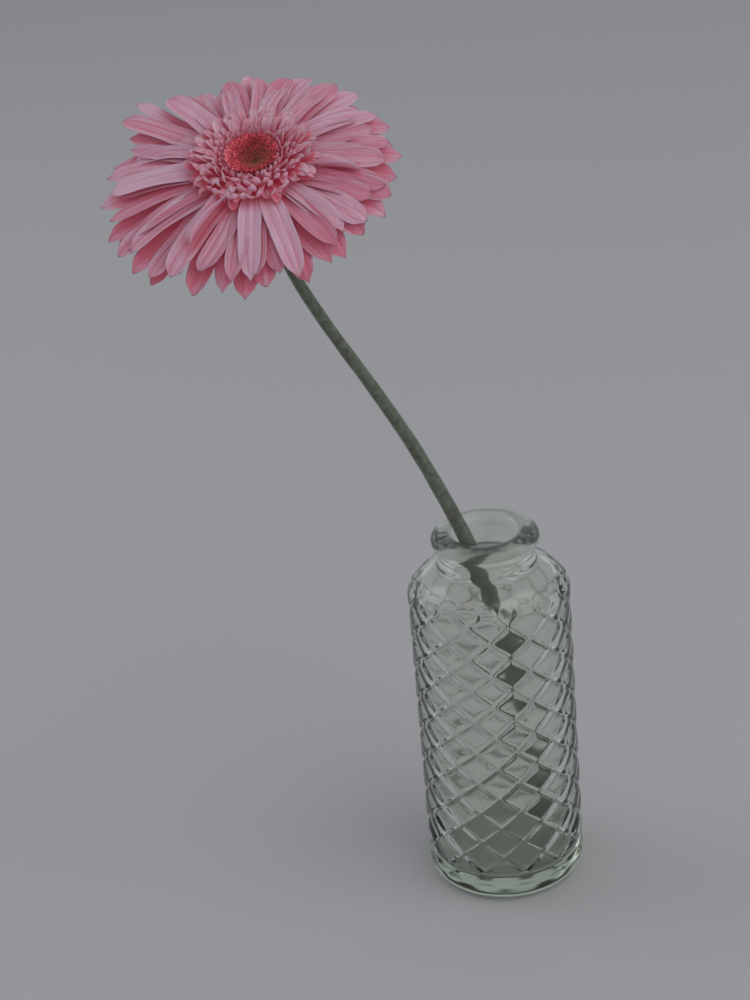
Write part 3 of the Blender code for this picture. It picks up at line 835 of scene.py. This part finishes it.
draw = random.Random(RAY_SEED)
vary = random.Random(RAY_LOOKS_SEED)
leaves = []
for layer, kind in enumerate(RAY_ROWS):
    loose = layer > 2
    for index in range(kind["count"]):
        azimuth = 360 * (index + layer / 3) / kind["count"] + draw.uniform(-3, 3)
        near_short = (1 + math.cos(math.radians(azimuth - SHORT_SIDE))) / 2
        size = draw.uniform(0.95, 1.02) * (1 - SHORT_SHARE * near_short**2)
        back = (1 + math.cos(math.radians(azimuth - BACK_SIDE))) / 2
        pale = max(math.exp(-((turn_between(azimuth, side) / PALE_SPREAD) ** 2)) for side in PALE_SIDES)
        own = dict(
            azimuth=azimuth,
            radius=RAY_ROOT,
            height=kind["height"],
            length=kind["length"] * size * RAY_STRETCH,
            width=kind["width"] * draw.uniform(0.80, 1.02),
            twist=draw.uniform(-10, 10) * (2 if loose else 1),
            sweep=draw.uniform(-3, 3) * (3 if loose else 1),
            rise=kind["rise"] + draw.uniform(-1.6, 1.6),
            fall=kind["fall"] - 3 * back**2,
            curl=vary.uniform(-9, 5 - 4 * back),
            cup=vary.uniform(0.05, 0.32),
            fold=vary.choice(RAY_FOLDS),
            wave=vary.uniform(0.03, 0.12),
            phase=vary.uniform(0, math.tau),
            shade=vary.uniform(0.1, 0.8) + (0.5 * pale if layer > 1 else 0.25),
            layer=layer,
            point=vary.choice(RAY_POINTS),
        )
        leaves.append(own)
leaves += [{**LONE_RAY, **single} for single in LONE_RAYS]
leaf = gathered(leaves)
lone = leaf["azimuth"][-len(LONE_RAYS) :]
room = turn_between(leaf["azimuth"][:, None], lone[None, :]).min(axis=1)
kept = (leaf["layer"] < len(RAY_ROWS) - 1) | (room > LONE_ROOM)
leaf = {key: value[kept] for key, value in leaf.items()}
along = 1 - (1 - np.linspace(0, 1, 36)) ** 1.6
across = np.sin(np.linspace(-1, 1, 17) * math.pi / 2) * 0.35 + np.linspace(-1, 1, 17) * 0.65
narrowing = (1 - np.clip((along - 0.46) / 0.54, 0, 1) ** 5.0)[None, :] ** leaf["point"][:, None]
widening = 0.40 + 0.60 * np.sin(math.pi / 2 * np.clip(along / 0.42, 0, 1))
outline = widening[None, :] * (0.04 + 0.96 * narrowing)

veins = bpy.data.node_groups.new("petal_veins", "ShaderNodeTree")
for name in ("Along", "Across", "Shade", "Lines"):
    veins.interface.new_socket(name, in_out="INPUT", socket_type="NodeSocketFloat")
for name in ("Streak", "Blotch"):
    veins.interface.new_socket(name, in_out="OUTPUT", socket_type="NodeSocketFloat")
given = veins.nodes.new("NodeGroupInput")
result = veins.nodes.new("NodeGroupOutput")
sideways = worked(veins, "MULTIPLY", given.outputs["Across"], given.outputs["Lines"])
own = worked(veins, "MULTIPLY", given.outputs["Shade"], 71.0)
lengthwise = worked(veins, "MULTIPLY", given.outputs["Along"], 1.6)
fine_place = add_node(veins, "CombineXYZ", {"X": sideways, "Y": lengthwise, "Z": own})
wide_place = add_node(veins, "CombineXYZ", {"X": given.outputs["Across"], "Y": lengthwise, "Z": own})
veins.links.new(noise(veins, fine_place.outputs[0], 1.0, 4.0, 0.65), result.inputs["Streak"])
veins.links.new(noise(veins, wide_place.outputs[0], 1.7, 2.0), result.inputs["Blotch"])


def petal_material(name, lines, root_reach, root, body, pale):
    """Papery petal skin.

    It goes from the body colour to the pale one by the sum of the petal's shade, its streaks,
    blotches and margins, less a painted shade line along each crease. Near the root it goes over to
    the root's colour, partly its own redder colour and partly painted shade, and where it lies under
    other petals that colour is painted shade. There the root's colour also gives a painted glow.
    """
    made, tree, shader = new_material(
        name,
        Roughness=0.62,
        Specular_IOR_Level=0.35,
        Sheen_Weight=0.08,
        Subsurface_Weight=0.2,
        Subsurface_Scale=0.0012,
        Subsurface_Radius=(1.0, 0.35, 0.4),
        Emission_Strength=PAINTED_GLOW,
    )
    read = read_marks(tree, "along", "across", "shade", "buried")
    inputs = {"Along": read["along"], "Across": read["across"], "Shade": read["shade"], "Lines": lines}
    vein = add_node(tree, "Group", inputs, node_tree=veins)
    inward = worked(tree, "ABSOLUTE", read["across"])
    from_crease = worked(tree, "ABSOLUTE", worked(tree, "SUBTRACT", inward, CREASE_AT))
    tone = mapped(tree, vein.outputs["Streak"], (0.3, 0.7), (-STREAK_TONE, STREAK_TONE))
    # The line along each crease is painted shade.
    for other in (
        mapped(tree, vein.outputs["Blotch"], (0.3, 0.7), (-BLOTCH_TONE, BLOTCH_TONE)),
        mapped(tree, inward, (0.90, 1.0), (0.0, MARGIN_TONE)),
        mapped(tree, from_crease, (0.0, 0.11), (CREASE_PAINTED_SHADE, 0.0)),
    ):
        tone = worked(tree, "ADD", tone, other)
    paler = worked(tree, "ADD", tone, read["shade"], clamp=True)
    skin = blended(tree, paler, (*body, 1), (*pale, 1))
    # The root's colour near the root is partly the petal's own and partly painted shade, and where the petal
    # lies under others it is painted shade; the same share also sets a painted glow.
    near_root = mapped(tree, read["along"], (0.0, root_reach), (1.0, 0.0))
    deep = worked(tree, "ADD", near_root, read["buried"], clamp=True)
    tree.links.new(blended(tree, deep, skin, (*root, 1)), shader.inputs["Base Color"])
    tree.links.new(scaled(tree, root, deep), shader.inputs["Emission Color"])
    roughen(tree, shader, vein.outputs["Streak"], 0.8, 0.0006)
    return made


pink = petal_material("dusty_pink_petal", 7.0, 0.34, **PINK)
petals = blades(leaf, along, across, outline, ray_section, ray_thickness)
rays = petal_whorl("long_petals", petals, leaf, along, across, RAY_RING, RAY_BURIED_SHADE, pink)
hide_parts("ray_petals")


# The short petals.
# A thick ruff of small pale tongues round the middle, steeper and shorter towards the disc.
# Each is a narrow channel whose tip curls, and deep red painted shade shows between their roots.

INNER_RING = ((-0.0055, -0.0034), RING_RADIUS, 0.0004)
# The painted shade among the short petals: its most, the cell, and the depth that gives the most.
INNER_BURIED_SHADE = dict(most=0.85, cell=0.0009, depth=0.0024)
INNER_ROWS = (
    dict(count=46, radius=0.0119, height=-0.0046, length=0.0128, rise=22, fall=-6, width=0.0027),
    dict(count=44, radius=0.0117, height=-0.0042, length=0.0118, rise=36, fall=2, width=0.0025),
    dict(count=42, radius=0.0113, height=-0.0040, length=0.0102, rise=50, fall=12, width=0.0023),
    dict(count=40, radius=0.0109, height=-0.0040, length=0.0082, rise=62, fall=30, width=0.0020),
    dict(count=40, radius=0.0104, height=-0.0040, length=0.0062, rise=74, fall=52, width=0.0021),
    dict(count=40, radius=0.0099, height=-0.0036, length=0.0050, rise=86, fall=80, width=0.0019),
    dict(count=38, radius=0.0094, height=-0.0034, length=0.0041, rise=96, fall=100, width=0.0017),
)
INNER_SEED = 11
PALE_PINK = dict(root=(0.62, 0.070, 0.130), body=(0.87, 0.36, 0.48), pale=(0.95, 0.63, 0.76))
FRONT = 270.0
FRONT_CURLS = (-120, -60, 60, 110, 150)


def tongue_section(leaf, s, t, half):
    """A channel: the edges stand up by the cup, which opens towards the rounded tip."""
    cup = leaf["cup"][:, None, None]
    lift = half * cup * np.abs(t) ** 1.6 * (1 - 0.35 * s) + 0 * s
    ahead = smooth_step((s - 0.85) / 0.15) * (-0.3 * half * t**2)
    return lift, ahead


def tongue_thickness(s, t):
    """As for the long petals, but thinner at the root and less thinned towards the tip."""
    return 0.00012 + 0.00030 * (1 - t**2) * (1 - 0.5 * s)


draw = random.Random(INNER_SEED)
leaves = []
for row, kind in enumerate(INNER_ROWS):
    outer = row < 4
    for index in range(kind["count"]):
        azimuth = 360 * (index + row / 2) / kind["count"] + draw.uniform(-2.5, 2.5)
        front = (1 + math.cos(math.radians(azimuth - FRONT))) / 2
        curling = front**1.5 * min(1, kind["length"] / 0.009)
        own = dict(
            azimuth=azimuth,
            length=kind["length"] * draw.uniform(0.86, 1.04) * (1 - front * (0.10 if outer else 0.05)),
            twist=draw.uniform(-30, 30) * (0.4 + front),
            sweep=draw.uniform(-7, 7),
            rise=kind["rise"] + draw.uniform(-5, 5) + (6 if outer else -5) * front,
            fall=kind["fall"] + (14 if outer else -3) * front,
            width=kind["width"] * draw.uniform(0.85, 1.12) * (1 + (0.35 * front**2 if outer else 0)),
            curl=draw.choice(FRONT_CURLS) * curling + draw.uniform(-15, 15),
            cup=draw.uniform(0.2, 0.7),
            shade=draw.uniform(0.1, 1) - 0.06 * row,
        )
        leaves.append({**kind, **own})
leaf = gathered(leaves)
along = 1 - (1 - np.linspace(0, 1, 15)) ** 1.35
across = np.linspace(-1, 1, 7)
narrowing = (1 - np.clip((along - 0.66) / 0.34, 0, 1) ** 2.6) ** 0.5
widening = 0.50 + 0.50 * np.sin(math.pi / 2 * np.clip(along / 0.7, 0, 1))
outline = (widening * (0.12 + 0.88 * narrowing))[None, :]
light = petal_material("pale_petal", 3.0, 0.50, **PALE_PINK)
tongues = blades(leaf, along, across, outline, tongue_section, tongue_thickness)
ruff = petal_whorl("short_petals", tongues, leaf, along, across, INNER_RING, INNER_BURIED_SHADE, light)
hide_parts("inner_petals")


# The disc.
# A low button sunken at its centre, packed with bud-like florets on a sunflower's spiral.
# They are coral and stand tall at the rim, and are short, closed and olive in the middle.

DISC_RADIUS = 0.009
DISC_FOOT = -0.0031
FLORETS = 780
FLORET_RADIUS = 0.00028
GOLDEN_ANGLE = math.radians(137.508)
DISC_DIP = (-0.0029, -0.0004)
UNRIPE_AT = np.array([0.0020, -0.0024])
UNRIPE_REACH = 0.0105
# Painted shade: how far down the colour ramp the back of the disc is moved.
BACK_PAINTED_SHADE = 0.42
EYE_AT = (0.0011, -0.0009)
EYE_REACH = 0.002
OUTER_RIPENESS = 0.58
# Strength of the painted glow on the disc.
DISC_PAINTED_GLOW = 0.07
DISC_SEED = 8
BUD_SIDES = 6
BUD_PROFILE = ((0.85, -0.25), (0.80, 0.30), (1.0, 0.62), (0.86, 0.86), (0.42, 1.0), (0.10, 0.93))
DISC_COLOURS = (
    (0.0, (0.23, 0.080, 0.037, 1)),
    (0.30, (0.35, 0.080, 0.052, 1)),
    (0.50, (0.48, 0.055, 0.069, 1)),
    (0.76, (0.71, 0.098, 0.138, 1)),
    (1.0, (0.90, 0.24, 0.30, 1)),
)


def button_height(share):
    """The button's top at a share of its radius: it rises by a smooth step from its middle to its rim."""
    return DISC_DIP[0] + (DISC_DIP[1] - DISC_DIP[0]) * smooth_step(share * 1.1)


index = np.arange(FLORETS)
share = np.sqrt((index + 0.5) / FLORETS)
angle = GOLDEN_ANGLE * index
vary = np.random.default_rng(DISC_SEED)
radius = (DISC_RADIUS - FLORET_RADIUS) * share + vary.normal(0, 0.00007, FLORETS)
surface = button_height(share)
tall = (0.0004 + 0.0010 * smooth_step((share - 0.25) / 0.6)) * vary.uniform(0.65, 1.25, FLORETS)
plump = FLORET_RADIUS * (0.80 + 0.30 * share) * vary.uniform(0.75, 1.15, FLORETS)
bud = np.array(BUD_PROFILE)
spin = math.tau * np.arange(BUD_SIDES) / BUD_SIDES
across_bud = plump[:, None, None] * bud[None, :, :1] + 0 * spin
lean = tall[:, None] * bud[None, :, 1] * (0.30 * share[:, None] - 0.15)
lean_turn = angle + vary.normal(0, 0.4, FLORETS)
x = (radius * np.cos(angle))[:, None] + lean * np.cos(lean_turn)[:, None]
y = (radius * np.sin(angle))[:, None] + lean * np.sin(lean_turn)[:, None]
x = x[..., None] + across_bud * np.cos(spin)
y = y[..., None] + across_bud * np.sin(spin)
z = surface[:, None, None] + tall[:, None, None] * bud[None, :, 1:] + 0 * across_bud
buds = np.stack([x, y, z], axis=-1)
rim = np.linspace(0, 1, 12)
edge = [(0.0, DISC_DIP[0])]
edge += [(DISC_RADIUS * step, float(button_height(step))) for step in rim[1:]]
edge += [(DISC_RADIUS, DISC_FOOT), (0.0, DISC_FOOT)]
button = revolved(evenly([np.array(edge)], 0.0006))
shape = buds.shape[:3]
points, faces = joined([(buds, tube_faces(*shape)), button])

coral, tree, shader = new_material("disc_coral", Roughness=0.55, Emission_Strength=DISC_PAINTED_GLOW)
read = read_marks(tree, "ripe", "tip", "shade")
speck = mapped(tree, read["shade"], (0.0, 1.0), (-0.16, 0.16))
ripe = ramped(tree, worked(tree, "ADD", read["ripe"], speck, clamp=True), DISC_COLOURS)
# Painted light and shade: darker towards the foot of each bud and on the button between the buds, lighter at
# the tips; the small eye is darker too.
lit = mapped(tree, read["tip"], (0.2, 1.0), (0.36, 1.15))
own = mapped(tree, read["shade"], (0.0, 1.0), (0.8, 1.25))
gain = worked(tree, "MULTIPLY", lit, own)
tree.links.new(scaled(tree, ripe, gain), shader.inputs["Base Color"])
# A painted glow of the florets' colour lightens the shade between the buds.
tree.links.new(ripe, shader.inputs["Emission Color"])

# A floret's ripeness goes by its distance from the unripe side, with painted shade that darkens the
# back of the disc, and it is dark in the small eye beside the middle.
disc = make_piece("disc_buds", on_head(points), faces, coral)
plain = np.zeros(len(button[0]))
from_unripe = np.linalg.norm(points[:, :2] - UNRIPE_AT, axis=1) / UNRIPE_REACH
# Painted shade moves the back of the disc down the colour ramp, darker and redder.
from_unripe = from_unripe * (1 - BACK_PAINTED_SHADE * np.clip(points[:, 1] / DISC_RADIUS, 0, 1))
outer = smooth_step((np.linalg.norm(points[:, :2], axis=1) / DISC_RADIUS - 0.8) / 0.2)
from_unripe = np.maximum(from_unripe, OUTER_RIPENESS * outer)
from_eye = np.hypot(radius * np.cos(angle) - EYE_AT[0], radius * np.sin(angle) - EYE_AT[1])
eye = smooth_step(from_eye / EYE_REACH)[:, None, None]
mark(
    disc,
    ripe=np.clip(from_unripe, 0, 1),
    tip=np.concatenate([np.broadcast_to(bud[None, :, 1:] * eye, shape).ravel(), plain]),
    shade=np.concatenate([np.broadcast_to(vary.uniform(0, 1, FLORETS)[:, None, None], shape).ravel(), plain]),
)
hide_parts("disc_florets")


# The stage: a plain pale floor, soft lights and the camera.
# The floor is wide enough to fill the picture, and nothing else stands on it.

FLOOR_LEVEL = -0.0002
FLOOR_HALF = 9
FLOOR_GREY = (0.525, 0.525, 0.540, 1)
SKY_TINT = (0.93, 0.96, 1.0, 1)
SKY_STRENGTH = (0.54, 0.37)
LIGHT_AIM = np.array([0, 0, 0.2])
floor_mesh = bpy.data.meshes.new("floor")
corners = ((-1, -1), (1, -1), (1, 1), (-1, 1))
corners = [(FLOOR_HALF * across, FLOOR_HALF * along, FLOOR_LEVEL) for across, along in corners]
floor_mesh.from_pydata(corners, [], [(0, 1, 2, 3)])
floor = new_object("floor", floor_mesh)
pale, tree, shader = new_material("pale_floor", Base_Color=FLOOR_GREY, Roughness=0.8)
floor_mesh.materials.append(pale)

world = bpy.data.worlds.new("soft_sky")
bpy.context.scene.world = world
world.use_nodes = True
tree = world.node_tree
upward = add_node(tree, "SeparateXYZ", {"Vector": add_node(tree, "TexCoord").outputs["Generated"]})
sky = mapped(tree, upward.outputs["Z"], (0.0, 0.6), SKY_STRENGTH)
tree.links.new(sky, tree.nodes["Background"].inputs["Strength"])
tree.nodes["Background"].inputs["Color"].default_value = SKY_TINT


def soft_light(name, place, width, power, colour):
    """A square area light at a place, tipped and then turned until it faces the point of aim."""
    light = bpy.data.lights.new(name, "AREA")
    light.shape = "SQUARE"
    light.size = width
    light.energy = power
    light.color = colour
    made = new_object(name, light)
    toward = LIGHT_AIM - np.array(place)
    made.location = place
    tipped = math.acos(-toward[2] / np.linalg.norm(toward))
    made.rotation_euler = (tipped, 0, math.atan2(toward[1], toward[0]) - math.pi / 2)


soft_light("right_light", (1.3, -0.9, 1.5), width=2.3, power=14.5, colour=(1.0, 0.985, 0.96))
soft_light("left_light", (-1.6, 0.5, 1.2), width=1.4, power=5.0, colour=(0.95, 0.97, 1.0))

CAMERA_PLACE = (0.0, -0.705104, 0.497488)
CAMERA_RIGHT = np.array([0.99613, 0.01899, -0.08578])
CAMERA_UP = np.array([0.06974, 0.42288, 0.90350])
camera_data = bpy.data.cameras.new("camera")
camera_data.sensor_fit = "HORIZONTAL"
camera_data.sensor_width = 36.0
camera_data.lens = 96.0
camera_data.clip_start = 0.01
camera_data.clip_end = 50.0
camera = new_object("camera", camera_data)
camera_back = np.cross(CAMERA_RIGHT, CAMERA_UP)
turned = np.eye(4)
turned[:3] = np.stack([CAMERA_RIGHT, CAMERA_UP, camera_back, CAMERA_PLACE], axis=1)
camera.matrix_world = turned.T.tolist()
bpy.context.scene.camera = camera
bpy.context.scene.view_settings.view_transform = "Standard"
